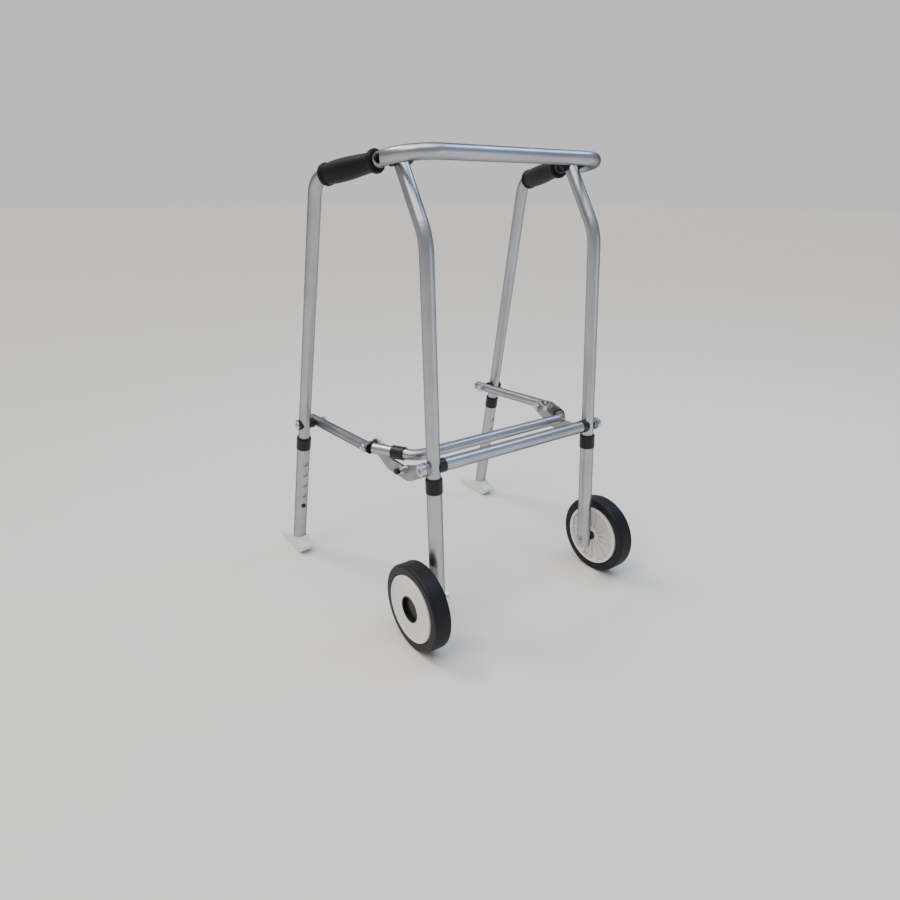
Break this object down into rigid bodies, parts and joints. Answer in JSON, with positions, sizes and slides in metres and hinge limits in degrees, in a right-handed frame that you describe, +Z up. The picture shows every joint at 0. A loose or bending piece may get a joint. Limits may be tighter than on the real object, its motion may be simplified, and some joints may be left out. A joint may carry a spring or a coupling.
{
  "type": "folding walking frame",
  "caption": "Folding aluminium walking frame with two front wheels, rear ski glides, push-button height legs, hand grips and a lift-to-fold spreader bar.",
  "frame": {"origin": "on the floor under the middle of the frame, bottom centre of its bounding box", "axes": "+Z up; -Y towards the front wheels; +X towards the user's left, who stands inside facing -Y"},
  "size_m": [0.5248, 0.5692, 0.7822],
  "materials": {
    "satin_aluminium": "satin anodised",
    "black_plastic": "moulded, fine grain",
    "grip_rubber": "matte",
    "tyre_rubber": "grooved, matte",
    "cream_nylon": "moulded",
    "pale_nylon": "moulded",
    "zinc_steel": "zinc plated",
    "brushed_plate": "brushed"
  },
  "bodies": {
    "frame": {"u_rail": "satin_aluminium", "top_pivot_bolts": "zinc_steel", "top_pivot_nuts": "black_plastic", "top_pivot_saddles": "black_plastic", "front_leg_left": "satin_aluminium", "front_leg_right": "satin_aluminium", "lower_cross_tube": "satin_aluminium", "cross_tube_saddles": "black_plastic", "lower_pivot_bolts": "zinc_steel", "lower_pivot_washers": "zinc_steel", "lock_catch": "brushed_plate"},
    "rear_leg_left": {"rear_leg_left": "satin_aluminium", "hinge_lug_left": "black_plastic", "grip_left": "grip_rubber", "rear_pivot_bolt_left": "zinc_steel", "rear_pivot_saddles_left": "black_plastic"},
    "rear_leg_right": {"rear_leg_right": "satin_aluminium", "hinge_lug_right": "black_plastic", "grip_right": "grip_rubber", "rear_pivot_bolt_right": "zinc_steel", "rear_pivot_saddles_right": "black_plastic"},
    "spreader": {"link_plate_left": "brushed_plate", "link_plate_right": "brushed_plate", "spreader_bar": "satin_aluminium", "bar_sleeves": "black_plastic", "bar_screws": "zinc_steel", "lock_housing": "zinc_steel"},
    "lock_pin": {"lock_pin": "black_plastic"},
    "side_brace_left": {"side_brace_left": "satin_aluminium", "brace_end_cap_left": "black_plastic", "brace_fasteners_left": "zinc_steel", "brace_saddle_left": "black_plastic"},
    "side_brace_right": {"side_brace_right": "satin_aluminium", "brace_end_cap_right": "black_plastic", "brace_fasteners_right": "zinc_steel", "brace_saddle_right": "black_plastic"},
    "front_extension_left": {"front_leg_extension_left": "satin_aluminium", "front_collar_left": "black_plastic", "axle_fasteners_left": "zinc_steel", "axle_spacer_left": "black_plastic"},
    "front_extension_right": {"front_leg_extension_right": "satin_aluminium", "front_collar_right": "black_plastic", "axle_fasteners_right": "zinc_steel", "axle_spacer_right": "black_plastic"},
    "wheel_left": {"tyre_left": "tyre_rubber", "wheel_hub_left": "cream_nylon", "hub_cap_left": "black_plastic"},
    "wheel_right": {"tyre_right": "tyre_rubber", "wheel_hub_right": "cream_nylon", "hub_cap_right": "black_plastic"},
    "rear_extension_left": {"rear_leg_extension_left": "satin_aluminium", "rear_collar_left": "black_plastic", "ski_glide_left": "pale_nylon"},
    "rear_extension_right": {"rear_leg_extension_right": "satin_aluminium", "rear_collar_right": "black_plastic", "ski_glide_right": "pale_nylon"},
    "front_button_left": {"front_snap_button_left": "black_plastic"},
    "front_button_right": {"front_snap_button_right": "black_plastic"},
    "rear_button_left": {"rear_snap_button_left": "black_plastic"},
    "rear_button_right": {"rear_snap_button_right": "black_plastic"}
  },
  "joints": [
    {"name": "spreader_lift", "type": "hinge", "parent": "frame", "child": "spreader", "pos_m": [0, -0.1947, 0.313], "axis": [1, 0, 0], "range_deg": [0, 50.5], "deforming": ["lock_pin"]},
    {"name": "rear_leg_left_fold", "type": "hinge", "parent": "frame", "child": "rear_leg_left", "pos_m": [0.172, -0.1074, 0.763], "axis": [1, 0, 0], "range_deg": [-24.1, 0]},
    {"name": "rear_leg_right_fold", "type": "hinge", "parent": "frame", "child": "rear_leg_right", "pos_m": [-0.172, -0.1074, 0.763], "axis": [1, 0, 0], "range_deg": [-24.1, 0]},
    {"name": "side_brace_left_swing", "type": "hinge", "parent": "spreader", "child": "side_brace_left", "pos_m": [0.211, -0.0424, 0.307], "axis": [1, 0, 0], "range_deg": [-126.38, 0]},
    {"name": "side_brace_right_swing", "type": "hinge", "parent": "spreader", "child": "side_brace_right", "pos_m": [-0.211, -0.0424, 0.307], "axis": [1, 0, 0], "range_deg": [-126.38, 0]},
    {"name": "front_leg_left_height", "type": "slide", "parent": "frame", "child": "front_extension_left", "axis": [0.0091, -0.0579, -0.9983], "range_m": [0, 0.1016], "deforming": ["front_snap_button_left"]},
    {"name": "front_leg_right_height", "type": "slide", "parent": "frame", "child": "front_extension_right", "axis": [-0.0091, -0.0579, -0.9983], "range_m": [0, 0.1016], "deforming": ["front_snap_button_right"]},
    {"name": "rear_leg_left_height", "type": "slide", "parent": "rear_leg_left", "child": "rear_extension_left", "axis": [0.0353, 0.2, -0.9792], "range_m": [0, 0.1016], "deforming": ["rear_snap_button_left"]},
    {"name": "rear_leg_right_height", "type": "slide", "parent": "rear_leg_right", "child": "rear_extension_right", "axis": [-0.0353, 0.2, -0.9792], "range_m": [0, 0.1016], "deforming": ["rear_snap_button_right"]},
    {"name": "wheel_left_spin", "type": "hinge", "parent": "front_extension_left", "child": "wheel_left", "pos_m": [0.218, -0.2084, 0.0762], "axis": [1, 0, 0], "continuous": true},
    {"name": "wheel_right_spin", "type": "hinge", "parent": "front_extension_right", "child": "wheel_right", "pos_m": [-0.218, -0.2084, 0.0762], "axis": [1, 0, 0], "continuous": true},
    {"name": "front_button_left_press", "type": "slide", "parent": "frame", "child": "front_button_left", "axis": [-0.0005, -0.9983, 0.0579], "range_m": [0, 0.0041], "stiffness_N_per_m": 800, "springref_m": -0.002},
    {"name": "front_button_right_press", "type": "slide", "parent": "frame", "child": "front_button_right", "axis": [0.0005, -0.9983, 0.0579], "range_m": [0, 0.0041], "stiffness_N_per_m": 800, "springref_m": -0.002},
    {"name": "rear_button_left_press", "type": "slide", "parent": "rear_leg_left", "child": "rear_button_left", "axis": [-0.0072, 0.9798, 0.1999], "range_m": [0, 0.0041], "stiffness_N_per_m": 800, "springref_m": -0.002},
    {"name": "rear_button_right_press", "type": "slide", "parent": "rear_leg_right", "child": "rear_button_right", "axis": [0.0072, 0.9798, 0.1999], "range_m": [0, 0.0041], "stiffness_N_per_m": 800, "springref_m": -0.002},
    {"name": "lock_pin_pull", "type": "slide", "parent": "spreader", "child": "lock_pin", "axis": [-1, 0, 0], "range_m": [0, 0.004], "stiffness_N_per_m": 900, "springref_m": -0.002}
  ],
  "couplings": [
    {"joint": "rear_leg_left_fold", "follows": "spreader_lift", "ratio": -0.4752},
    {"joint": "rear_leg_right_fold", "follows": "spreader_lift", "ratio": -0.4752},
    {"joint": "side_brace_left_swing", "follows": "spreader_lift", "ratio": -2.5005},
    {"joint": "side_brace_right_swing", "follows": "spreader_lift", "ratio": -2.5005}
  ]
}
